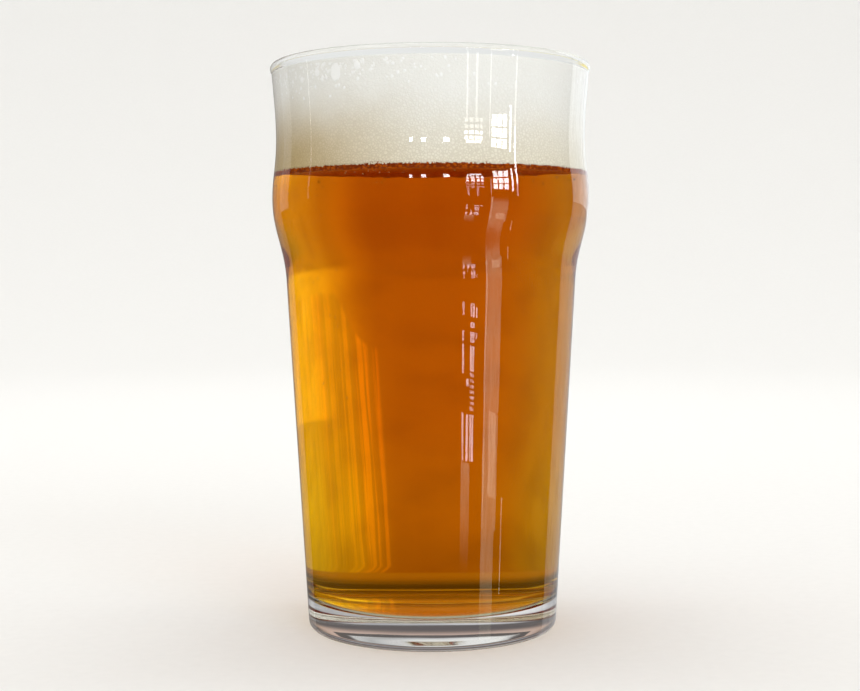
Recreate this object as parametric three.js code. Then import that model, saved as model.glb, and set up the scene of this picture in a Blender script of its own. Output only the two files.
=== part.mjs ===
// A pint of amber ale with a deep head of foam, in its nonic pint glass.
// Millimetres, +Z up, origin on the table at the middle of the foot.
import * as THREE from "three";

// Driving dimensions of the glass, outside
const HEIGHT = 152; // table to the top of the lip
const FOOT_RADIUS = 33.75; // where the wall meets the round of the foot
const FOOT_ROUND_HEIGHT = 2;
const FOOT_RING = { inner: 28.5, outer: 32 }; // the flat ring that touches the table
const PUSH_UP = 1.6; // how far the underside is dished
const DISH_FLAT = 0.6; // share of the dish's radius that stays nearly level
const FOOT_CORNER = 0.5; // how far the foot's round keeps off the square corner
const WAIST = { radius: 39, height: 93 }; // end of the straight taper
const BULGE = { radius: 42.7, height: 116 }; // the ring that keeps stacked rims apart
const NECK = { radius: 41.55, height: 132.5 }; // slimmest place above the bulge
const BEAD = { radius: 1.4, from: -Math.PI / 4 }; // the lip's round, and where it springs from the wall
const LIP = { radius: 42.6, height: HEIGHT - BEAD.radius * (1 - Math.sin(BEAD.from)) };

// Driving dimensions of the glass, inside
const BASE_THICKNESS = 8;
const FLOOR_ROUND = 4.5; // fillet between the inner floor and the wall
const WALL = { foot: 2.9, waist: 2.7, bulge: 2.5, neck: 2.3 };

// Driving dimensions of the drink
const FOAM_LINE = 123; // where the beer ends and the foam begins
const FOAM_EDGE = 149.5; // foam against the glass, just under the lip
const FOAM_CROWN = 1; // rise of the head towards its middle
const FOAM_RINGS = 9; // rows of facets across the top of the head
const HUMMOCKS = [
  { turnX: 0.21, turnY: 0.17, start: 1.3, height: 0.3 }, // radians of wave for each millimetre
  { turnX: 0.33, turnY: -0.33, start: 0.4, height: 0.2 },
];
const CLEARANCE = 0.3; // gap kept between pieces that touch

const SEGMENTS = 60; // facets round each turned piece

// Wall bends: how far each bend's handles reach up from its lower end and down from its upper end
const SHOULDER = { fromWaist: 10, fromBulge: 9, lean: 0.3 };
const COVE = { fromBulge: 6, fromNeck: 7.5 };
const FLARE = { fromNeck: 6, fromLip: 5, lean: 0.35 };
const STEPS = { shoulder: 8, cove: 6, flare: 5, bead: 10, floorRound: 5, footRound: 3, dish: 5 };

// The wall's curve from the foot's taper up to the lip, at a given depth inside the outer face.
// Straight taper, S-shaped shoulder, cove above the bulge, then the flare of the mouth.
function wallCurve(bottom, depth) {
  const waist = WAIST.radius - depth.waist;
  const bulge = BULGE.radius - depth.bulge;
  const neck = NECK.radius - depth.neck;
  const mouth = LIP.radius - depth.neck;
  const pieces = [
    [
      STEPS.shoulder,
      new THREE.CubicBezierCurve(
        new THREE.Vector2(waist, WAIST.height),
        new THREE.Vector2(waist + SHOULDER.lean, WAIST.height + SHOULDER.fromWaist),
        new THREE.Vector2(bulge, BULGE.height - SHOULDER.fromBulge),
        new THREE.Vector2(bulge, BULGE.height),
      ),
    ],
    [
      STEPS.cove,
      new THREE.CubicBezierCurve(
        new THREE.Vector2(bulge, BULGE.height),
        new THREE.Vector2(bulge, BULGE.height + COVE.fromBulge),
        new THREE.Vector2(neck, NECK.height - COVE.fromNeck),
        new THREE.Vector2(neck, NECK.height),
      ),
    ],
    [
      STEPS.flare,
      new THREE.CubicBezierCurve(
        new THREE.Vector2(neck, NECK.height),
        new THREE.Vector2(neck, NECK.height + FLARE.fromNeck),
        new THREE.Vector2(mouth - FLARE.lean, LIP.height - FLARE.fromLip),
        new THREE.Vector2(mouth, LIP.height),
      ),
    ],
  ];
  const points = [bottom];
  for (const [steps, curve] of pieces) {
    const bend = curve.getPoints(steps);
    points.push(...(points.length > 1 ? bend.slice(1) : bend));
  }
  return points;
}

// Points of a circular arc about a centre, angles in radians from the outward direction.
function arc(radius, height, size, from, to, steps) {
  return Array.from({ length: steps + 1 }, (_, i) => {
    const angle = from + ((to - from) * i) / steps;
    return new THREE.Vector2(radius + size * Math.cos(angle), height + size * Math.sin(angle));
  });
}

// The outer wall's radius on the straight taper
function taperRadius(height) {
  const share = (height - FOOT_ROUND_HEIGHT) / (WAIST.height - FOOT_ROUND_HEIGHT);
  return THREE.MathUtils.lerp(FOOT_RADIUS, WAIST.radius, share);
}

// The hollow's outline from the middle of its floor up to the mouth, shrunk by a gap all round.
function hollowCurve(gap) {
  const depth = { waist: WALL.waist + gap, bulge: WALL.bulge + gap, neck: WALL.neck + gap };
  const floor = BASE_THICKNESS + gap;
  const roundTop = floor + FLOOR_ROUND;
  const wallFoot = new THREE.Vector2(taperRadius(roundTop) - WALL.foot - gap, roundTop);
  const corner = arc(wallFoot.x - FLOOR_ROUND, roundTop, FLOOR_ROUND, -Math.PI / 2, 0, STEPS.floorRound);
  return [new THREE.Vector2(0, floor), ...corner.slice(0, -1), ...wallCurve(wallFoot, depth)];
}

// A closed outline turned about the upright axis.
function turned(outline) {
  return new THREE.LatheGeometry(outline, SEGMENTS).rotateX(Math.PI / 2);
}

// The part of an outline below a height, ended exactly there.
function cutAbove(outline, height) {
  const end = outline.findIndex((p) => p.y >= height);
  const [below, above] = [outline[end - 1], outline[end]];
  const share = (height - below.y) / (above.y - below.y);
  return [...outline.slice(0, end), below.clone().lerp(above, share)];
}

// Pressed and fire-polished soda-lime glass: dished foot, tapered wall, bulge and beaded lip.
function glassGeometry() {
  const dish = new THREE.QuadraticBezierCurve(
    new THREE.Vector2(0, PUSH_UP),
    new THREE.Vector2(FOOT_RING.inner * DISH_FLAT, PUSH_UP),
    new THREE.Vector2(FOOT_RING.inner, 0),
  );
  const footRound = new THREE.QuadraticBezierCurve(
    new THREE.Vector2(FOOT_RING.outer, 0),
    new THREE.Vector2(FOOT_RADIUS - FOOT_CORNER, FOOT_CORNER),
    new THREE.Vector2(FOOT_RADIUS, FOOT_ROUND_HEIGHT),
  );
  const outside = wallCurve(new THREE.Vector2(FOOT_RADIUS, FOOT_ROUND_HEIGHT), { waist: 0, bulge: 0, neck: 0 });
  const beadMiddle = LIP.radius - BEAD.radius * Math.cos(BEAD.from);
  const bead = arc(beadMiddle, HEIGHT - BEAD.radius, BEAD.radius, BEAD.from, Math.PI, STEPS.bead);
  const inside = hollowCurve(0).reverse();
  return turned([
    ...dish.getPoints(STEPS.dish),
    ...footRound.getPoints(STEPS.footRound),
    ...outside.slice(1),
    ...bead.slice(1),
    ...inside.slice(1),
  ]);
}

// The ale fills the hollow from its floor to the foam line.
function beerGeometry() {
  const top = FOAM_LINE - CLEARANCE / 2;
  return turned([...cutAbove(hollowCurve(CLEARANCE), top), new THREE.Vector2(0, top)]);
}

// The top of the head: a low crown with soft hummocks that fade out at the glass.
function headHeight(x, y, rim) {
  const out = Math.min(Math.hypot(x, y) / rim, 1);
  const waves = HUMMOCKS.map((h) => h.height * Math.sin(h.turnX * x + h.turnY * y + h.start));
  const swell = waves.reduce((sum, wave) => sum + wave, 0);
  return FOAM_EDGE + (1 - out ** 2) * (FOAM_CROWN + swell);
}

// The foam sits on the ale and reaches up the glass to just under the lip.
function foamGeometry() {
  const bottom = FOAM_LINE + CLEARANCE / 2;
  const hollow = hollowCurve(CLEARANCE);
  const below = cutAbove(hollow, bottom);
  const wall = cutAbove(hollow, FOAM_EDGE).slice(below.length - 1);
  const foot = below.at(-1);
  const edge = wall.at(-1);
  const top = Array.from(
    { length: FOAM_RINGS },
    (_, i) => new THREE.Vector2(edge.x * (1 - (i + 1) / FOAM_RINGS), FOAM_EDGE + FOAM_CROWN),
  );
  const geometry = turned([new THREE.Vector2(0, bottom), foot, ...wall, ...top]);
  const at = geometry.getAttribute("position");
  for (let i = 0; i < at.count; i += 1) {
    if (at.getZ(i) > FOAM_EDGE) at.setZ(i, headHeight(at.getX(i), at.getY(i), edge.x));
  }
  return geometry;
}

function piece(name, geometry, look) {
  const mesh = new THREE.Mesh(geometry, new THREE.MeshStandardMaterial(look));
  mesh.name = name;
  return mesh;
}

const pint = new THREE.Group();
pint.add(
  piece("glass", glassGeometry(), {
    color: 0xdfe6e8,
    roughness: 0.03,
    metalness: 0,
    transparent: true,
    opacity: 0.3,
  }),
  piece("beer", beerGeometry(), { color: 0xb86200, roughness: 0.05, metalness: 0 }),
  piece("foam", foamGeometry(), { color: 0xe9e4d4, roughness: 0.75, metalness: 0 }),
);

export default pint;
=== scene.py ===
import math
import random

import bpy
from mathutils import Matrix, Vector


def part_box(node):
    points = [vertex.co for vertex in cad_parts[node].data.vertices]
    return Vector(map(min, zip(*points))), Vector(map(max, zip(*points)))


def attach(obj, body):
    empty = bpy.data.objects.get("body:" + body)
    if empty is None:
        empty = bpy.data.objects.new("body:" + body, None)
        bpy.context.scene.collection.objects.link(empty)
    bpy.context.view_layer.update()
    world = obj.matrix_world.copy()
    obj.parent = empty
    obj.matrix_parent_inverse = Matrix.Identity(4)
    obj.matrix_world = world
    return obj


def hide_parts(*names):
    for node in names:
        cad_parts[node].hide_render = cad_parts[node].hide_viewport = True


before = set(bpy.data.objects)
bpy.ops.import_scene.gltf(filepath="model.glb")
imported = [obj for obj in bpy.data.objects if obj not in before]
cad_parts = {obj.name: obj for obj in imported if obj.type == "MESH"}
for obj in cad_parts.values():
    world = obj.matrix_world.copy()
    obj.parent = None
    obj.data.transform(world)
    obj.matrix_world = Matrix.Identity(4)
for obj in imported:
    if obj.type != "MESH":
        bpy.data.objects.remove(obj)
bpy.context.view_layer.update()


# The camera stands a forearm away, a little above the middle of the glass, and tips down slightly.
# Distance, height and lens come from the ellipses of the lip, the foam line and the foot in the picture.
MM = 0.001
PICTURE_WIDTH = 860
FOCAL_PIXELS = 1525.4
SENSOR = 36.0
camera_place = Vector((-0.33, -415.07, 94.82)) * MM
camera_tip = 0.0444
camera_roll = -0.0045

bpy.ops.object.select_all(action="DESELECT")
bpy.ops.object.camera_add()
camera = bpy.context.object
camera.name = "camera"
camera.data.sensor_width = SENSOR
camera.data.lens = FOCAL_PIXELS * SENSOR / PICTURE_WIDTH
camera.data.clip_start = 10 * MM
aim = Matrix.Rotation(math.pi / 2 - camera_tip, 4, "X") @ Matrix.Rotation(camera_roll, 4, "Z")
camera.matrix_world = Matrix.Translation(camera_place) @ aim
bpy.context.scene.camera = camera
bpy.context.scene.view_settings.view_transform = "Standard"


# The glass is one piece of clear soda-lime glass, pressed, blown and fire-polished. It has a dished foot,
# a straight taper, a bulge that keeps stacked rims apart, and a rounded bead at the lip.
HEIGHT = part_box("glass")[1].z / MM
FOOT_RADIUS = 33.75
FOOT_ROUND = 2.0
RING_INNER = 28.5
RING_OUTER = 32.0
PUSH_UP = 1.6
WAIST = (39.0, 93.0)
BULGE = (42.7, 116.0)
NECK = (41.55, 132.5)
BEAD = 1.4
LIP = (42.6, HEIGHT - BEAD * (1 + math.sqrt(0.5)))
FLOOR = 8.0
FLOOR_ROUND = 4.5
WALL_FOOT = 2.9
WALL_WAIST = 2.7
WALL_BULGE = 2.5
WALL_NECK = 2.3
AROUND = 256


def bend(start, start_handle, end_handle, end, steps):
    """Points of a Bezier bend after its start, up to and with its end."""
    points = []
    for i in range(1, steps + 1):
        t = i / steps
        u = 1 - t
        shares = (u**3, 3 * u * u * t, 3 * u * t * t, t**3)
        corners = (start, start_handle, end_handle, end)
        points.append(tuple(sum(s * c[k] for s, c in zip(shares, corners)) for k in (0, 1)))
    return points


def arc(centre, size, first, last, steps):
    """Points of a circular arc after its first point, angles in degrees from the outward direction."""
    angles = [math.radians(first + (last - first) * i / steps) for i in range(1, steps + 1)]
    return [(centre[0] + size * math.cos(a), centre[1] + size * math.sin(a)) for a in angles]


def straight(start, end, shares):
    """Points on a straight run after its start, at given shares of its length, up to and with its end."""
    return [tuple(start[k] + (end[k] - start[k]) * share for k in (0, 1)) for share in (*shares, 1.0)]


TAPER_ROWS = (0.01, 0.03, 0.08, 0.2, 0.4, 0.6, 0.8, 0.92, 0.97, 0.99)
FLOOR_ROWS = (0.4, 0.8, 0.95, 0.99)


def wall(waist_depth, bulge_depth, neck_depth):
    """The wall's curve from the waist to the lip, at given depths inside the outer face."""
    waist = (WAIST[0] - waist_depth, WAIST[1])
    bulge = (BULGE[0] - bulge_depth, BULGE[1])
    neck = (NECK[0] - neck_depth, NECK[1])
    mouth = (LIP[0] - neck_depth, LIP[1])
    shoulder = bend(waist, (waist[0] + 0.3, waist[1] + 10), (bulge[0], bulge[1] - 9), bulge, 20)
    cove = bend(bulge, (bulge[0], bulge[1] + 6), (neck[0], neck[1] - 7.5), neck, 16)
    flare = bend(neck, (neck[0], neck[1] + 6), (mouth[0] - 0.35, mouth[1] - 5), mouth, 14)
    return [waist, *shoulder, *cove, *flare]


def hollow(reach):
    """The inside from the middle of the floor up to the mouth, grown into the wall by a reach."""
    round_top = FLOOR - reach + FLOOR_ROUND
    share = (round_top - FOOT_ROUND) / (WAIST[1] - FOOT_ROUND)
    wall_foot = FOOT_RADIUS + (WAIST[0] - FOOT_RADIUS) * share - WALL_FOOT + reach
    corner_centre = (wall_foot - FLOOR_ROUND, round_top)
    corner = arc(corner_centre, FLOOR_ROUND, -90, 0, 10)
    middle = (0, FLOOR - reach)
    floor = [middle, *straight(middle, (corner_centre[0], FLOOR - reach), FLOOR_ROWS)]
    upper = wall(WALL_WAIST - reach, WALL_BULGE - reach, WALL_NECK - reach)
    return [*floor, *corner, *straight(corner[-1], upper[0], TAPER_ROWS), *upper[1:]]


def turned(name, outline, around):
    """A closed piece spun about the upright axis from an outline drawn point by point."""
    bpy.ops.object.select_all(action="DESELECT")
    bpy.ops.mesh.primitive_plane_add(size=MM)
    piece = bpy.context.object
    piece.name = name
    piece.data.name = name
    bpy.ops.object.mode_set(mode="EDIT")
    bpy.ops.mesh.select_all(action="SELECT")
    bpy.ops.mesh.merge(type="CENTER")
    bpy.ops.transform.translate(value=(outline[0][0] * MM, 0, outline[0][1] * MM))
    at = outline[0]
    for point in outline[1:]:
        step = ((point[0] - at[0]) * MM, 0, (point[1] - at[1]) * MM)
        bpy.ops.mesh.extrude_vertices_move(TRANSFORM_OT_translate={"value": step})
        at = point
    bpy.ops.object.mode_set(mode="OBJECT")
    lathe = piece.modifiers.new("lathe", "SCREW")
    lathe.axis = "Z"
    lathe.steps = around
    lathe.render_steps = around
    lathe.use_merge_vertices = True
    bpy.ops.object.modifier_apply(modifier=lathe.name)
    bpy.ops.object.mode_set(mode="EDIT")
    bpy.ops.mesh.select_all(action="SELECT")
    bpy.ops.mesh.remove_doubles(threshold=0.001 * MM)
    bpy.ops.mesh.normals_make_consistent(inside=False)
    bpy.ops.object.mode_set(mode="OBJECT")
    return piece


class Shade:
    """A value on a material's node board. Arithmetic on it adds Math nodes."""

    def __init__(self, tree, socket=None):
        self.tree = tree
        self.socket = socket

    def node(self, kind, settings, sockets, output=0):
        """Adds a node with its settings, then its socket values or links, and returns one output."""
        made = self.tree.nodes.new("ShaderNode" + kind)
        for name, value in settings.items():
            if name == "stops":
                stops = made.color_ramp.elements
                for i, (place, colour) in enumerate(value):
                    stop = stops[i] if i < len(stops) else stops.new(place)
                    stop.position = place
                    stop.color = colour
            else:
                setattr(made, name, value)
        for name, value in sockets.items():
            if isinstance(value, Shade):
                self.tree.links.new(value.socket, made.inputs[name])
            else:
                made.inputs[name].default_value = value
        return Shade(self.tree, made.outputs[output] if made.outputs else None)

    def math(self, operation, first, second):
        return self.node("Math", {"operation": operation}, {0: first, 1: second})

    def __add__(self, other):
        return self.math("ADD", self, other)

    def __radd__(self, other):
        return self.math("ADD", other, self)

    def __sub__(self, other):
        return self.math("SUBTRACT", self, other)

    def __rsub__(self, other):
        return self.math("SUBTRACT", other, self)

    def __mul__(self, other):
        return self.math("MULTIPLY", self, other)

    def __rmul__(self, other):
        return self.math("MULTIPLY", other, self)

    def __pow__(self, other):
        return self.math("POWER", self, other)

    def between(self, low, high):
        """Nought below low, one above high, smooth in between."""
        settings = {"interpolation_type": "SMOOTHSTEP"}
        return self.node("MapRange", settings, {"Value": self, "From Min": low, "From Max": high})

    def tint(self, first, second):
        """A colour that goes from first to second as the value goes from nought to one."""
        return self.node("Mix", {"data_type": "RGBA"}, {"Factor": self, 6: first, 7: second}, 2)

    def multiply(self, first, second):
        """A colour that goes from first to first times second as the value goes from nought to one."""
        settings = {"data_type": "RGBA", "blend_type": "MULTIPLY"}
        return self.node("Mix", settings, {"Factor": self, 6: first, 7: second}, 2)


def board(name):
    """A new empty material, and a Shade to add nodes to it."""
    material = bpy.data.materials.new(name)
    material.use_nodes = True
    material.node_tree.nodes.clear()
    return material, Shade(material.node_tree)


def noise(nodes, place, scale, detail=2.0):
    sockets = {"Vector": place, "Scale": scale, "Detail": detail}
    return nodes.node("TexNoise", {}, sockets)


def stretched(nodes, place, scale):
    """Coordinates pulled by a scale on each axis."""
    return nodes.node("Mapping", {}, {"Vector": place, "Scale": scale})


def lets_light_through(nodes, shader, clear):
    """Shows the shader, but lets light go straight through to and from the matt things about it."""
    passing = nodes.node("BsdfTransparent", {}, {"Color": clear})
    lamp_ray = nodes.node("LightPath", {}, {}, "Is Shadow Ray")
    lamp_lit = nodes.node("MixShader", {}, {0: lamp_ray, 1: shader, 2: passing})
    bounced_ray = nodes.node("LightPath", {}, {}, "Is Diffuse Ray")
    return nodes.node("MixShader", {}, {0: bounced_ray, 1: lamp_lit, 2: passing})


bead_centre = (LIP[0] - BEAD * math.sqrt(0.5), HEIGHT - BEAD)
dish_top = (0, PUSH_UP)
dish_flat = (RING_INNER * 0.4, PUSH_UP)
dish_slope = (RING_INNER * 0.8, PUSH_UP * 0.6)
dish = bend(dish_top, dish_flat, dish_slope, (RING_INNER, 0), 10)
foot_flat = (FOOT_RADIUS - 0.7, 0.2)
foot_steep = (FOOT_RADIUS - 0.2, 1)
foot_round = bend((RING_OUTER, 0), foot_flat, foot_steep, (FOOT_RADIUS, FOOT_ROUND), 6)
outside = wall(0, 0, 0)
bead = arc(bead_centre, BEAD, -45, 180, 24)
inside = hollow(0)[::-1]
taper = straight(foot_round[-1], outside[0], TAPER_ROWS)
ring = straight((RING_INNER, 0), (RING_OUTER, 0), (0.05, 0.95))
glass_outline = [dish_top, *dish, *ring, *foot_round, *taper, *outside[1:], *bead, *inside]
glass = turned("pint_glass", glass_outline, AROUND)
bpy.ops.object.shade_smooth_by_angle(angle=math.radians(28))

FOAM_LINE = 123.0
FIRE_POLISH = 0.001
SMEAR = 0.008
WET_SHINE = 0.05


def glass_finish(name, shine):
    """Clear glass, faintly rippled by its mould and a little smeared by handling.
    Shine is one where the glass meets air, and far less where it is wet."""
    material, nodes = board(name)
    place = nodes.node("TexCoord", {}, {}, "Object")
    ripple = noise(nodes, stretched(nodes, place, (1, 1, 0.35)), 55.0)
    smudge = noise(nodes, stretched(nodes, place, (1, 1, 0.5)), 130.0, 4.0)
    polish = FIRE_POLISH + SMEAR * smudge.between(0.52, 0.78)
    tint = noise(nodes, place, 20.0).tint((0.965, 0.985, 0.978, 1), (0.985, 0.99, 0.99, 1))
    waviness = nodes.node("Bump", {}, {"Strength": 0.25, "Distance": 0.2 * MM, "Height": ripple})
    shader = nodes.node(
        "BsdfPrincipled",
        {},
        {
            "Base Color": tint,
            "Roughness": polish,
            "IOR": 1.52,
            "Specular Tint": (shine, shine, shine, 1),
            "Transmission Weight": 1.0,
            "Normal": waviness,
        },
    )
    passed = lets_light_through(nodes, shader, (0.96, 0.97, 0.97, 1))
    nodes.node("OutputMaterial", {}, {"Surface": passed})
    return material


glass.data.materials.append(glass_finish("clear_glass", 1.0))
glass.data.materials.append(glass_finish("wetted_glass", WET_SHINE))
for face in glass.data.polygons:
    faces_axis = face.normal.x * face.center.x + face.normal.y * face.center.y < 0
    faces_up = face.normal.z > 0.5
    below_foam = (FLOOR - 0.1) * MM < face.center.z < FOAM_LINE * MM
    face.material_index = 1 if (faces_axis or faces_up) and below_foam else 0
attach(glass, "root")
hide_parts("glass")


# The beer is a bright, filtered amber ale. It fills the hollow up to the foam line.
# Its piece reaches a hair into the wall, as a liquid wets glass, and up into the foam that floats on it.
WETTING = 0.12
BEER_INTO_FOAM = 1.5


def cut_between(outline, low, high):
    """The part of a rising outline between two heights, ended exactly there."""
    kept = []
    for below, above in zip(outline, outline[1:]):
        for height in (low, high):
            if below[1] < height <= above[1]:
                share = (height - below[1]) / (above[1] - below[1])
                kept.append((below[0] + (above[0] - below[0]) * share, height))
        if low < above[1] < high:
            kept.append(above)
    return kept


beer_side = hollow(WETTING)
beer_top = FOAM_LINE + BEER_INTO_FOAM
floor_points = len(FLOOR_ROWS) + 2
beer_wall = cut_between(beer_side[floor_points:], beer_side[0][1], beer_top)
beer = turned("amber_fill", [*beer_side[:floor_points], *beer_wall, (0, beer_top)], AROUND)
bpy.ops.object.shade_smooth_by_angle(angle=math.radians(40))

amber_beer, nodes = board("amber_beer")
place = nodes.node("TexCoord", {}, {}, "Object")
streaks = noise(nodes, stretched(nodes, place, (1, 1, 0.06)), 160.0, 3.0)
haze = streaks.between(0.35, 0.7).tint((1, 1, 1, 1), (0.97, 0.95, 0.9, 1))
beer_shader = nodes.node(
    "BsdfPrincipled",
    {},
    {
        "Base Color": haze,
        "Roughness": 0.0,
        "IOR": 1.34,
        "Specular Tint": (WET_SHINE, WET_SHINE, WET_SHINE, 1),
        "Transmission Weight": 1.0,
    },
)
passed = lets_light_through(nodes, beer_shader, (1, 1, 1, 1))
depth = nodes.node("VolumeAbsorption", {}, {"Color": (0.94, 0.78, 0.0, 1), "Density": 100.0})
nodes.node("OutputMaterial", {}, {"Surface": passed, "Volume": depth})
beer.data.materials.append(amber_beer)
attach(beer, "root")
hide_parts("beer")


# The head is a dense froth of fine bubbles, drained and level, that clings to the glass up to the lip.
# Its underside and its edge at the beer are pitted by the bubbles that rise into it.
FOAM_EDGE = 149.5
FOAM_CROWN = 1.0
FOAM_WETTING = 0.2
FOAM_AROUND = 512
SIDE_STEP = 0.4
TOP_RINGS = 46
UNDER_RINGS = 24

foam_wall = cut_between(hollow(FOAM_WETTING), FOAM_LINE, FOAM_EDGE)
foam_side = [foam_wall[0]]
for below, above in zip(foam_wall, foam_wall[1:]):
    rows = max(1, round((above[1] - below[1]) / SIDE_STEP))
    for i in range(1, rows + 1):
        foam_side.append(tuple(below[k] + (above[k] - below[k]) * i / rows for k in (0, 1)))
foot_radius = foam_side[0][0]
edge_radius = foam_side[-1][0]
under = [(foot_radius * i / UNDER_RINGS, FOAM_LINE) for i in range(UNDER_RINGS)]
crown = []
for i in range(1, TOP_RINGS + 1):
    share = 1 - i / TOP_RINGS
    crown.append((edge_radius * share, FOAM_EDGE + FOAM_CROWN * (1 - share**2)))
foam = turned("foam_head", [*under, *foam_side, *crown], FOAM_AROUND)


def pitted(piece, pattern, size, height, group=""):
    """Raises and sinks a piece's skin by a pattern of bubbles of a given size, in millimetres."""
    texture = bpy.data.textures.new(piece.name + "_" + pattern.lower(), pattern)
    texture.noise_scale = size * MM
    modifier = piece.modifiers.new("bubbles", "DISPLACE")
    modifier.texture = texture
    modifier.texture_coords = "LOCAL"
    modifier.strength = height * MM
    modifier.mid_level = 0.5
    modifier.vertex_group = group
    bpy.ops.object.modifier_apply(modifier=modifier.name)


FREE_RIM = 4.0
PITTED_FOOT = 1.0
FOOT_SHARE = 0.35
loose_skin = foam.vertex_groups.new(name="loose_skin")
for vertex in foam.data.vertices:
    up = vertex.co.z / MM
    out = math.hypot(vertex.co.x, vertex.co.y) / MM
    if up > FOAM_EDGE + 0.05:
        loose_skin.add([vertex.index], min(1.0, (edge_radius - out) / FREE_RIM), "REPLACE")
    elif up < FOAM_LINE + PITTED_FOOT:
        loose_skin.add([vertex.index], FOOT_SHARE * (FOAM_LINE + PITTED_FOOT - up), "REPLACE")
pitted(foam, "CLOUDS", 9.0, 1.4, "loose_skin")
pitted(foam, "VORONOI", 2.6, 0.9, "loose_skin")
bpy.ops.object.shade_smooth()

beer_foam, nodes = board("beer_foam")
place = nodes.node("TexCoord", {}, {}, "Object")
across = nodes.node("SeparateXYZ", {}, {"Vector": place}, "X")
height = nodes.node("SeparateXYZ", {}, {"Vector": place}, "Z")
fine = nodes.node("TexVoronoi", {"feature": "DISTANCE_TO_EDGE"}, {"Vector": place, "Scale": 1350.0})
coarse = nodes.node("TexVoronoi", {"feature": "DISTANCE_TO_EDGE"}, {"Vector": place, "Scale": 1050.0})
to_top = height.between(0.128, 0.150)
to_right = across.between(-0.03, 0.03)
patches = noise(nodes, place, 120.0, 3.0) * 0.6 + to_top * 0.5 - to_right * 0.25
open_cells = patches.between(0.35, 0.75)
fine_seams = (1 - fine.between(0.02, 0.25)) * (1 - open_cells * 0.8)
coarse_seams = (1 - coarse.between(0.02, 0.16)) * open_cells * 0.6
seams = fine_seams + coarse_seams
wander = noise(nodes, place, 60.0, 2.0) * 0.008
# Darker and beiger towards the beer: partly the wetter froth's own colour, partly painted shade for light
# that enters the head at its top and fades downwards.
wet_and_painted_shade = 1 - (height + wander).between(0.124, 0.148)
# Painted shade: the lower left of the head is painted a darker brownish beige, where less light falls.
left_painted_shade = (1 - (height + wander).between(0.128, 0.150)) * (1 - across.between(-0.040, 0.002))
froth = wet_and_painted_shade.tint((0.885, 0.88, 0.86, 1), (0.80, 0.745, 0.62, 1))
froth_with_left_shade = left_painted_shade.tint(froth, (0.55, 0.41, 0.20, 1))
film = (seams * (0.14 + wet_and_painted_shade * 0.30)).multiply(froth_with_left_shade, (0.66, 0.62, 0.56, 1))
skin = nodes.node("Bump", {"invert": True}, {"Strength": 0.5, "Distance": 0.15 * MM, "Height": seams})
foam_shader = nodes.node(
    "BsdfPrincipled",
    {},
    {"Base Color": film, "Roughness": 0.55, "IOR": 1.34, "Normal": skin},
)
nodes.node("OutputMaterial", {}, {"Surface": foam_shader})
foam.data.materials.append(beer_foam)
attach(foam, "root")
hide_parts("foam")


# The lowest layer of the head is soaked through with beer: a thin bed of tiny bubbles that still rise.
# It is sunk in the top of the beer and looks dark against the drained froth above it: its amber is partly the
# beer's own colour in the froth and partly painted shade for the head's underside, which is lit only through
# the beer, and its dark brown towards the glass is painted shade.
BED_DEPTH = 1.4
BED_INSET = 0.1
BED_OVERLAP = 0.3
bed_radius = foot_radius - BED_INSET
bed_low = FOAM_LINE - BED_DEPTH
bed_high = FOAM_LINE + BED_OVERLAP
bed_under = [(bed_radius * i / UNDER_RINGS, bed_low) for i in range(UNDER_RINGS + 1)]
bed_outline = [*bed_under, (bed_radius, FOAM_LINE), (bed_radius, bed_high), (0, bed_high)]
bed = turned("soaked_bed", bed_outline, AROUND)
loose_bed = bed.vertex_groups.new(name="loose_bed")
for vertex in bed.data.vertices:
    if vertex.co.z < (bed_low + 0.1) * MM:
        loose_bed.add([vertex.index], 1.0, "REPLACE")
pitted(bed, "VORONOI", 1.8, 0.5, "loose_bed")
bpy.ops.object.shade_smooth_by_angle(angle=math.radians(40))
soaked_froth_and_shade, nodes = board("soaked_froth_and_shade")
place = nodes.node("TexCoord", {}, {}, "Object")
across = nodes.node("SeparateXYZ", {}, {"Vector": place}, "X")
along = nodes.node("SeparateXYZ", {}, {"Vector": place}, "Y")
reach = (across * across + along * along) ** 0.5
grain = nodes.node("TexVoronoi", {"feature": "F1"}, {"Vector": place, "Scale": 1400.0})
specks = grain.between(0.15, 0.65)
# Painted shade: the amber is darker than the soaked froth's own colour, and turns dark brown towards the
# glass.
amber = specks.tint((0.72, 0.24, 0.03, 1), (0.46, 0.11, 0.012, 1))
painted_shade_brown = specks.tint((0.40, 0.075, 0.002, 1), (0.17, 0.022, 0.001, 1))
bed_colour = reach.between((bed_radius - 0.8) * MM, (bed_radius - 0.1) * MM).tint(amber, painted_shade_brown)
rough_bed = nodes.node("Bump", {"invert": True}, {"Strength": 0.5, "Distance": 0.15 * MM, "Height": grain})
soaked_shader = nodes.node(
    "BsdfPrincipled",
    {},
    {"Base Color": bed_colour, "Roughness": 0.5, "Specular IOR Level": 0.05, "Normal": rough_bed},
)
nodes.node("OutputMaterial", {}, {"Surface": soaked_shader})
bed.data.materials.append(soaked_froth_and_shade)
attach(bed, "root")


# Beads of drained froth line the head's lower edge at the glass, so that its line at the beer is uneven.
# They are of the same froth as the head.
LUCK = random.Random(7)
EDGE_BEADS = 1100
BEAD_INSET = 0.25


def ball(name, segments, rings):
    """A slightly uneven ball of about one millimetre radius, to be copied and then dropped."""
    bpy.ops.object.select_all(action="DESELECT")
    bpy.ops.mesh.primitive_uv_sphere_add(segments=segments, ring_count=rings, radius=MM)
    made = bpy.context.object
    made.name = name
    bpy.ops.object.mode_set(mode="EDIT")
    bpy.ops.mesh.select_all(action="SELECT")
    bpy.ops.transform.vertex_random(offset=0.04 * MM, uniform=1.0, normal=0.0, seed=3, wait_for_input=False)
    bpy.ops.object.mode_set(mode="OBJECT")
    bpy.ops.object.shade_smooth()
    return made


inner_line = hollow(0)


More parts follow.
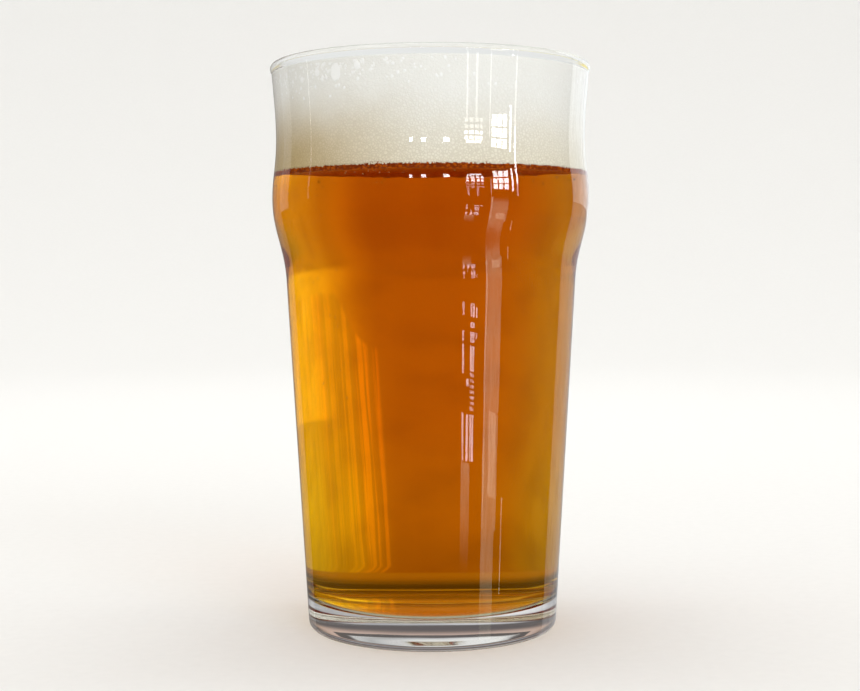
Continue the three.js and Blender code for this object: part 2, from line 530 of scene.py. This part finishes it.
def inner_radius(height):
    """The inside radius of the glass at a height."""
    for below, above in zip(inner_line, inner_line[1:]):
        if below[1] < height <= above[1]:
            return below[0] + (above[0] - below[0]) * (height - below[1]) / (above[1] - below[1])
    return inner_line[-1][0]


def scattered(name, model, spots):
    """Copies of a model as one piece, each leaning as the wall does beside it.
    A spot has a turn in radians from the camera's side, right positive, then in millimetres
    a radius, a height and the copy's half width, half height and half depth."""
    copies = []
    for turn, radius, height, half_width, half_height, half_depth in spots:
        copy = model.copy()
        copy.data = model.data.copy()
        middle = Vector((math.sin(turn) * radius, -math.cos(turn) * radius, height)) * MM
        size = Matrix.Diagonal((half_width, half_depth, half_height, 1))
        lean = math.atan2(inner_radius(height + 0.2) - inner_radius(height - 0.2), 0.4)
        facing = Matrix.Rotation(turn, 4, "Z") @ Matrix.Rotation(lean, 4, "X")
        copy.matrix_world = Matrix.Translation(middle) @ facing @ size
        bpy.context.collection.objects.link(copy)
        copies.append(copy)
    bpy.data.objects.remove(model)
    bpy.ops.object.select_all(action="DESELECT")
    for copy in copies:
        copy.select_set(True)
    bpy.context.view_layer.objects.active = copies[0]
    bpy.ops.object.join()
    piece = bpy.context.object
    piece.name = name
    piece.data.name = name
    bpy.ops.object.transform_apply(location=True, rotation=True, scale=True)
    return piece


spots = []
for i in range(EDGE_BEADS):
    size = LUCK.uniform(0.18, 0.4)
    turn = math.tau * (i + LUCK.random()) / EDGE_BEADS
    up = FOAM_LINE + LUCK.uniform(-0.15, 0.25)
    spots.append((turn, foot_radius - BEAD_INSET, up, size, size, size * 0.8))
beads = scattered("froth_beads", ball("bead", 6, 4), spots)
beads.data.materials.append(beer_foam)
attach(beads, "root")


# Larger bubbles lie flat against the glass in the upper part of the head, most of them at the left.
# Each shows as a pale oval, as its film sits tight on the wall.
WALL_BUBBLES = 300
BUBBLE_DEPTH = 0.05
spots = []
for i in range(WALL_BUBBLES):
    degrees = LUCK.gauss(-40, 25) if i % 2 else LUCK.uniform(60, 330)
    up = FOAM_EDGE - 0.8 - abs(LUCK.gauss(0, 3.2))
    size = LUCK.uniform(0.18, 0.42)
    tall = size * LUCK.uniform(0.9, 1.3)
    on_wall = inner_radius(up) + FOAM_WETTING
    spots.append((math.radians(degrees), on_wall, up, size, tall, BUBBLE_DEPTH))
wall_bubbles = scattered("wall_bubbles", ball("bubble", 8, 6), spots)
bubble_film, nodes = board("bubble_film")
place = nodes.node("TexCoord", {}, {}, "Object")
pale = noise(nodes, place, 500.0).tint((0.97, 0.97, 0.97, 1), (0.93, 0.93, 0.93, 1))
film_shader = nodes.node("BsdfPrincipled", {}, {"Base Color": pale, "Roughness": 0.35, "IOR": 1.34})
nodes.node("OutputMaterial", {}, {"Surface": film_shader})
wall_bubbles.data.materials.append(bubble_film)
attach(wall_bubbles, "root")


# A handful of bubbles several times as large sit among them, the largest an upright oval at the front left.
# They are of the same film, tight on the wall, and the hidden side has a like group, a little smaller.
# Each has its turn in degrees, its height, its half width and its half height.
BIG_BUBBLES = [(-35, 146.0, 1.5, 2.2), (-26, 147.2, 0.9, 1.0)]
BIG_BUBBLES += [(-43.5, 146.4, 0.85, 0.9), (-52, 145.2, 0.7, 0.8)]
BIG_DEPTH = 0.09
BACK_TURN = 190
BACK_SHARE = 0.8
spots = []
for degrees, up, wide, tall in BIG_BUBBLES:
    on_wall = inner_radius(up) + FOAM_WETTING
    behind = math.radians(degrees + BACK_TURN)
    spots.append((math.radians(degrees), on_wall, up, wide, tall, BIG_DEPTH))
    spots.append((behind, on_wall, up, wide * BACK_SHARE, tall * BACK_SHARE, BIG_DEPTH))
big_bubbles = scattered("big_bubbles", ball("big_bubble", 24, 14), spots)
big_bubbles.data.materials.append(bubble_film)
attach(big_bubbles, "root")


# Small bubbles of gas, wholly sunk in the beer. Most hang in a collar under the head, where they gather,
# and a few cling to the inside of the glass, where they grew.
COLLAR_BUBBLES = 160
COLLAR_INSET = 0.3
CLINGING_BUBBLES = 28
CLINGING_GAP = 0.02
spots = []
for i in range(COLLAR_BUBBLES):
    size = LUCK.uniform(0.08, 0.2)
    drop = LUCK.expovariate(1 / 1.3) + BED_DEPTH + 0.3
    turn = LUCK.uniform(0, math.tau)
    spots.append((turn, foot_radius - COLLAR_INSET - size, FOAM_LINE - drop, size, size, size))
for i in range(CLINGING_BUBBLES):
    size = LUCK.uniform(0.08, 0.2)
    degrees = LUCK.uniform(-180, 180) if i % 4 == 0 else LUCK.gauss(-50, 7)
    up = LUCK.uniform(45, 118)
    near_wall = inner_radius(up) - size - CLINGING_GAP
    spots.append((math.radians(degrees), near_wall, up, size, size * 1.2, size))
gas = scattered("gas_bubbles", ball("gas", 8, 6), spots)
gas_bubble, nodes = board("gas_bubble")
place = nodes.node("TexCoord", {}, {}, "Object")
clear = noise(nodes, place, 400.0).tint((1, 0.95, 0.85, 1), (0.95, 0.85, 0.7, 1))
gas_shader = nodes.node(
    "BsdfPrincipled",
    {},
    {"Base Color": clear, "Roughness": 0.0, "IOR": 1.9, "Transmission Weight": 1.0},
)
nodes.node("OutputMaterial", {}, {"Surface": gas_shader})
gas.data.materials.append(gas_bubble)
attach(gas, "root")


# The stage is a plain pale bowl of paper: a floor that curves up into a wall all round the glass.
# It is not part of the object, and neither the shine nor the clear pieces show it.
BOWL_RADIUS = 3000
BOWL_CURVE = 1800
BOWL_HEIGHT = 3600
bowl_floor = straight((0, 0), (BOWL_RADIUS - BOWL_CURVE, 0), (0.1, 0.3, 0.6, 0.9))
bowl_curve = arc((BOWL_RADIUS - BOWL_CURVE, BOWL_CURVE), BOWL_CURVE, -90, 0, 40)
bowl_wall = [(BOWL_RADIUS, BOWL_HEIGHT * 0.6), (BOWL_RADIUS, BOWL_HEIGHT)]
sweep = turned("sweep", [(0, 0), *bowl_floor, *bowl_curve, *bowl_wall], AROUND)
bpy.ops.object.mode_set(mode="EDIT")
bpy.ops.mesh.select_all(action="SELECT")
bpy.ops.mesh.flip_normals()
bpy.ops.object.mode_set(mode="OBJECT")
bpy.ops.object.shade_smooth()
pale_paper, nodes = board("pale_paper")
place = nodes.node("TexCoord", {}, {}, "Object")
paper = noise(nodes, place, 300.0, 3.0).tint((0.80, 0.80, 0.79, 1), (0.84, 0.84, 0.83, 1))
paper_shader = nodes.node(
    "BsdfPrincipled",
    {},
    {"Base Color": paper, "Roughness": 0.9, "Specular IOR Level": 0.0},
)
nodes.node("OutputMaterial", {}, {"Surface": paper_shader})
sweep.data.materials.append(pale_paper)
sweep.visible_glossy = False
sweep.visible_transmission = False


# Soft studio light: a large key from the front right, a warm fill from the left, and light from above
# and on the wall behind. These light the froth and the paper and don't show in the glass.
world = bpy.data.worlds.new("room")
world.use_nodes = True
world.node_tree.nodes["Background"].inputs["Color"].default_value = (1.0, 0.93, 0.83, 1)
world.node_tree.nodes["Background"].inputs["Strength"].default_value = 0.25
world.cycles_visibility.glossy = False
bpy.context.scene.world = world
bpy.context.scene.cycles.caustics_refractive = False
bpy.context.scene.cycles.caustics_reflective = False
bpy.context.scene.cycles.max_bounces = 28
bpy.context.scene.cycles.transmission_bounces = 28
bpy.context.scene.cycles.glossy_bounces = 16


def panel(name, turn, distance, rise, size, radiance, colour, target):
    """A flat light turned to its target. Turn is in degrees from the camera's side, right positive."""
    angle = math.radians(turn)
    spot = Vector((math.sin(angle) * distance, -math.cos(angle) * distance, rise))
    bpy.ops.object.select_all(action="DESELECT")
    bpy.ops.object.light_add(type="AREA", location=spot)
    light = bpy.context.object
    light.name = name
    light.data.shape = "RECTANGLE"
    light.data.size, light.data.size_y = size
    light.data.energy = radiance * math.pi * size[0] * size[1]
    light.data.color = colour
    facing = Vector(target) - spot
    light.rotation_euler = facing.to_track_quat("-Z", "Y").to_euler()
    light.visible_camera = False
    light.visible_glossy = False
    light.visible_transmission = False


GLASS_MIDDLE = (0, 0, 0.12)
panel("key", 27, 1.5, 0.57, (1.05, 1.35), 3.1, (1.0, 0.995, 0.985), GLASS_MIDDLE)
panel("fill", -75, 1.5, 0.45, (1.2, 0.6), 1.3, (1.0, 0.92, 0.78), GLASS_MIDDLE)
panel("top", 180, 0.1, 0.9, (0.6, 0.6), 0.7, (1.0, 1.0, 1.0), (0, 0, 0))
panel("ceiling", 180, 0.1, 2.6, (3.0, 3.0), 1.22, (1.0, 1.0, 1.0), (0, 0.1, 0))
panel("wash", 180, 0.2, 1.6, (2.4, 0.6), 5.0, (1.0, 1.0, 1.0), (0, 2.6, 0.9))


# Bright and dim panes stand about the glass, out of the picture, and only its shine shows them:
# two tall groups at the front right, a dimmer band at either back corner and a hairline at the left.
PANE_DISTANCE = 1.0


def panes_of_light(name, radiance, colour, panes, fade=None):
    """Upright panes on a circle about the glass: first and last turn in degrees, low and high in millimetres.
    A fade gives the height where they go dark and the height where they are at their full strength."""
    made = []
    for first, last, low, high in panes:
        middle = math.radians((first + last) / 2)
        width = 2 * PANE_DISTANCE * math.tan(math.radians(last - first) / 2)
        spot = (math.sin(middle) * PANE_DISTANCE, -math.cos(middle) * PANE_DISTANCE, (low + high) / 2 * MM)
        bpy.ops.object.select_all(action="DESELECT")
        bpy.ops.mesh.primitive_plane_add(size=1, location=spot, rotation=(math.pi / 2, 0, middle))
        bpy.context.object.scale = (width, (high - low) * MM, 1)
        made.append(bpy.context.object)
    for pane in made:
        pane.select_set(True)
    bpy.ops.object.join()
    group = bpy.context.object
    group.name = name
    bpy.ops.object.transform_apply(location=True, rotation=True, scale=True)
    material, nodes = board(name)
    place = nodes.node("TexCoord", {}, {}, "Object")
    dull = tuple(0.6 * part for part in colour)
    clouds = noise(nodes, stretched(nodes, place, (1, 1, 0.4)), 60.0, 3.0).between(0.35, 0.6)
    shown = clouds.tint((*dull, 1), (*colour, 1))
    if fade:
        rise = nodes.node("SeparateXYZ", {}, {"Vector": place}, "Z")
        shown = rise.between(fade[0] * MM, fade[1] * MM).tint((0, 0, 0, 1), shown)
    glow = nodes.node("Emission", {}, {"Color": shown, "Strength": radiance})
    nodes.node("OutputMaterial", {}, {"Surface": glow})
    material.cycles.emission_sampling = "NONE"
    group.data.materials.append(material)
    group.visible_camera = False
    group.visible_diffuse = False
    group.visible_transmission = False
    group.visible_shadow = False


near_columns = [(24.2, 26.3), (27.7, 30.4), (31.6, 34.1), (35.1, 37.0)]
far_columns = [(44.0, 47.2), (48.2, 51.4), (52.4, 55.6)]
lattice = [(*column, 270 + 34 * row, 292 + 34 * row) for column in near_columns for row in range(2)]
lattice += [(*column, 188 + 62 * row, 240 + 62 * row) for column in far_columns for row in range(3)]
lattice += [(58.0, 59.3, 165, 375), (61.8, 63.2, 240, 400)]
lattice += [(-14.8, -12.7, 316, 348), (-6.6, -3.1, 320, 350), (8.8, 13.2, 320, 350), (25.1, 35.5, 334, 350)]
panes_of_light("window_lattice", 26.0, (1, 1, 1), lattice)
lines = [(*column, 202 + 34 * row, 222 + 34 * row) for column in near_columns for row in range(2)]
lines += [(25.2, 26.4, 105, 200), (31.8, 33.2, 105, 200), (42.0, 42.7, 120, 300), (61.8, 63.0, 112, 240)]
panes_of_light("window_lines", 5.0, (1, 1, 1), lines)
near_bars = [(24.2, 25.6, low, high) for low, high in ((-46, -34), (-70, -60), (-100, -73), (-178, -135))]
near_bars += [(27.5, 29.3, low, high) for low, high in ((-178, -136), (-110, -104))]
middle_bars = ((-46, -34), (-56, -51), (-70, -60), (-96, -73), (-178, -135))
near_bars += [(30.5, 31.9, low, high) for low, high in middle_bars]
near_bars += [(32.3, 33.8, low, high) for low, high in middle_bars]
near_bars += [(34.8, 36.0, low, high) for low, high in ((-46, -36), (-66, -60))]
panes_of_light("near_bars", 9.0, (1, 1, 1), near_bars)
sparkle = []
for column in range(3):
    first = 30.5 + 1.2 * column
    sparkle += [(first, first + 0.9, -131 + 5 * row, -128 + 5 * row) for row in range(7)]
panes_of_light("sparkle", 7.0, (1, 1, 1), sparkle)
bright_glow = [(42.2, 43.6, -235, 90), (47.0, 54.0, -205, -125), (60.6, 61.4, -290, -200)]
panes_of_light("bright_glow", 4.6, (1.0, 1.0, 0.72), bright_glow)
soft_glow = [(43.6, 55.5, -125, 110), (43.6, 47.0, -205, -125)]
soft_glow += [(54.0, 55.5, -205, -125), (43.6, 55.5, -235, -205)]
panes_of_light("soft_glow", 2.4, (1.0, 1.0, 0.70), soft_glow, (110, -40))
panes_of_light("low_glow", 2.4, (1.0, 1.0, 0.70), [(42.2, 54.0, -430, -235)], (-400, -225))
panes_of_light("near_glow", 2.4, (1.0, 1.0, 0.70), [(23.8, 31.0, -310, -180)], (-290, -175))
right_wall = [(turn, turn + 4, -600, 120) for turn in range(121, 169, 4)]
panes_of_light("right_wall", 0.66, (0.96, 0.97, 1.0), right_wall)
right_corner = [(turn, turn + 4, 120, 900) for turn in range(121, 169, 4)]
panes_of_light("right_corner", 1.45, (0.93, 0.97, 1.0), right_corner)
left_wall = [(turn, turn + 3, -600, 900) for turn in range(-169, -136, 3)]
panes_of_light("left_wall", 0.32, (1.0, 0.94, 0.90), left_wall)
left_corner = [(turn, turn + 3, 80, 900) for turn in range(-136, -121, 3)]
panes_of_light("left_corner", 0.6, (0.92, 0.95, 1.0), left_corner)
panes_of_light("hairline", 3.0, (1, 1, 1), [(-95.7, -95.0, 120, 900)])


# A round screen stands close about the glass and shows only through the clear pieces, which swap its sides:
# bright at the back right, dim and warm in the middle, paler at the left, and dark underneath. It glows but
# lights nothing: its colours are painted light for what the beer and base show, and its dark middle
# underneath is a painted shadow of the glass on the floor.
SCREEN_RADIUS = 0.13
SCREEN_LOW = -0.0005
SCREEN_HIGH = 0.6
bpy.ops.object.select_all(action="DESELECT")
bpy.ops.mesh.primitive_cylinder_add(
    vertices=96, radius=SCREEN_RADIUS, depth=SCREEN_HIGH - SCREEN_LOW, end_fill_type="NGON",
    location=(0, 0, (SCREEN_HIGH + SCREEN_LOW) / 2),
)
screen = bpy.context.object
screen.name = "screen"
bpy.ops.object.transform_apply(location=True)
bpy.ops.object.mode_set(mode="EDIT")
bpy.ops.mesh.select_all(action="SELECT")
bpy.ops.mesh.flip_normals()
bpy.ops.object.mode_set(mode="OBJECT")
room_light, nodes = board("room_light")
place = nodes.node("TexCoord", {}, {}, "Object")
across = nodes.node("SeparateXYZ", {}, {"Vector": place}, "X")
along = nodes.node("SeparateXYZ", {}, {"Vector": place}, "Y")
rise = nodes.node("SeparateXYZ", {}, {"Vector": place}, "Z")
degrees = nodes.math("ARCTAN2", across, along) * (180 / math.pi)


def at(degrees, red, green, blue):
    """A stop of the screen's colours, degrees from straight behind the glass, right positive."""
    return (0.5 + degrees / 360, (red, green, blue, 1))


left_stops = [at(-180, 0.75, 0.68, 0.55), at(-65, 0.70, 0.67, 0.60), at(-42, 0.78, 0.66, 0.32)]
left_stops += [at(-26, 0.80, 0.66, 0.30), at(-12, 0.75, 0.58, 0.22), at(-4, 0.77, 0.44, 0.10)]
right_stops = [at(42, 2.0, 1.9, 0.45), at(65, 0.95, 0.92, 0.75), at(180, 0.75, 0.68, 0.55)]
upper_stops = [*left_stops, at(3.4, 0.77, 0.44, 0.10), at(5.0, 1.02, 0.68, 0.12), at(11, 1.45, 1.32, 0.22)]
upper_stops += [at(20, 1.75, 1.68, 0.30), *right_stops]
lower_stops = [*left_stops, at(2.9, 0.77, 0.44, 0.10), at(3.2, 0.90, 0.56, 0.10), at(6.2, 1.00, 0.74, 0.12)]
lower_stops += [at(6.5, 1.08, 0.88, 0.18), at(11.8, 1.15, 1.02, 0.20), at(12.3, 1.40, 1.15, 0.22)]
lower_stops += [at(18, 1.50, 1.42, 0.28), *right_stops]
turn = degrees * (1 / 360) + 0.5
upper_colour = nodes.node("ValToRGB", {"stops": upper_stops}, {"Fac": turn})
plain_lower = nodes.node("ValToRGB", {"stops": lower_stops}, {"Fac": turn})
line_place = nodes.node("CombineXYZ", {}, {"X": degrees * 1.7, "Y": rise * 5.0})
line_ends = degrees.between(3.0, 3.3) * (1 - degrees.between(35, 50))
lines = noise(nodes, line_place, 1.0, 3.0).between(0.48, 0.54) * line_ends
line_strength = lines * (1 - 0.45 * degrees.between(6.2, 7.0))
lined_lower = line_strength.multiply(plain_lower, (1.45, 1.40, 1.0, 1))
band_edge = rise - 0.02 * degrees.between(3.2, 9.0)
banded = band_edge.between(0.0745, 0.0765).tint(lined_lower, upper_colour)
# Painted shade: the screen is darker right of the middle, above and below, and towards its foot.
before_side = 1 - degrees.between(50.0, 70.0)
upper_right = degrees.between(3.5, 8.5) * before_side * rise.between(0.110, 0.119)
shaded = upper_right.multiply(banded, (0.68, 0.60, 0.5, 1))
lower_right = degrees.between(8.0, 14.0) * before_side * (1 - rise.between(0.0505, 0.0525))
dimmed = lower_right.multiply(shaded, (0.72, 0.72, 0.65, 1))
lowered = (1 - rise.between(0.02, 0.055)).multiply(dimmed, (0.95, 1.06, 0.8, 1))
footed = (1 - rise.between(0.0, 0.018)).multiply(lowered, (0.74, 0.74, 0.8, 1))
smoke_place = nodes.node("CombineXYZ", {}, {"X": degrees * 0.16, "Y": rise * 60.0})
streaky_glow = noise(nodes, smoke_place, 1.0, 4.0).between(0.40, 0.66).multiply(footed, (0.86, 0.83, 0.80, 1))
topped = rise.between(0.131, 0.140).tint(streaky_glow, (0.86, 0.86, 0.85, 1))
reach = (across * across + along * along) ** 0.5
# Painted shadow: the floor under the glass, dark at the back and a dim green-grey at the front.
under_glass = along.between(-0.035, 0.035).tint((0.45, 0.45, 0.34, 1), (0.12, 0.085, 0.06, 1))
underneath = reach.between(0.06, 0.095).tint(under_glass, streaky_glow)
whole_screen = rise.between(0, 0.0005).tint(underneath, topped)
glow = nodes.node("Emission", {}, {"Color": whole_screen, "Strength": 1.0})
nodes.node("OutputMaterial", {}, {"Surface": glow})
room_light.cycles.emission_sampling = "NONE"
screen.data.materials.append(room_light)
screen.visible_camera = False
screen.visible_diffuse = False
screen.visible_glossy = False
screen.visible_shadow = False


# A low grey ring, the kerb, stands close about the foot and shows only through the clear pieces.
# It glows but lights nothing: its greys are painted light for the thick base, and its dark band is a painted
# shadow under the glass that gives the lowest beer its dark band.
KERB_RADIUS = 0.037
KERB_HIGH = 0.0115
bpy.ops.object.select_all(action="DESELECT")
bpy.ops.mesh.primitive_cylinder_add(
    vertices=96, radius=KERB_RADIUS, depth=KERB_HIGH, end_fill_type="NOTHING", location=(0, 0, KERB_HIGH / 2),
)
kerb = bpy.context.object
kerb.name = "kerb"
bpy.ops.object.transform_apply(location=True)
kerb_light, nodes = board("kerb_light")
place = nodes.node("TexCoord", {}, {}, "Object")
rise = nodes.node("SeparateXYZ", {}, {"Vector": place}, "Z")
across = nodes.node("SeparateXYZ", {}, {"Vector": place}, "X")
# Painted light and shade seen through the base: patchy greys, darker at the left, with a dark band of painted
# shadow above them.
patchy_light = noise(nodes, stretched(nodes, place, (1, 1, 3.0)), 70.0, 2.0).between(0.35, 0.65)
grey = patchy_light.tint((0.48, 0.48, 0.50, 1), (1.0, 1.0, 1.0, 1))
left_shaded = (1 - across.between(-0.030, 0.005)).multiply(grey, (0.4, 0.4, 0.4, 1))
shadow_band = rise.between(0.0060, 0.0110).tint((0.13, 0.115, 0.115, 1), (0.60, 0.46, 0.40, 1))
kerb_colour = rise.between(0.0024, 0.0034).tint(left_shaded, shadow_band)
glow = nodes.node("Emission", {}, {"Color": kerb_colour, "Strength": 1.0})
nodes.node("OutputMaterial", {}, {"Surface": glow})
kerb_light.cycles.emission_sampling = "NONE"
kerb.data.materials.append(kerb_light)
kerb.visible_camera = False
kerb.visible_diffuse = False
kerb.visible_glossy = False
kerb.visible_shadow = False
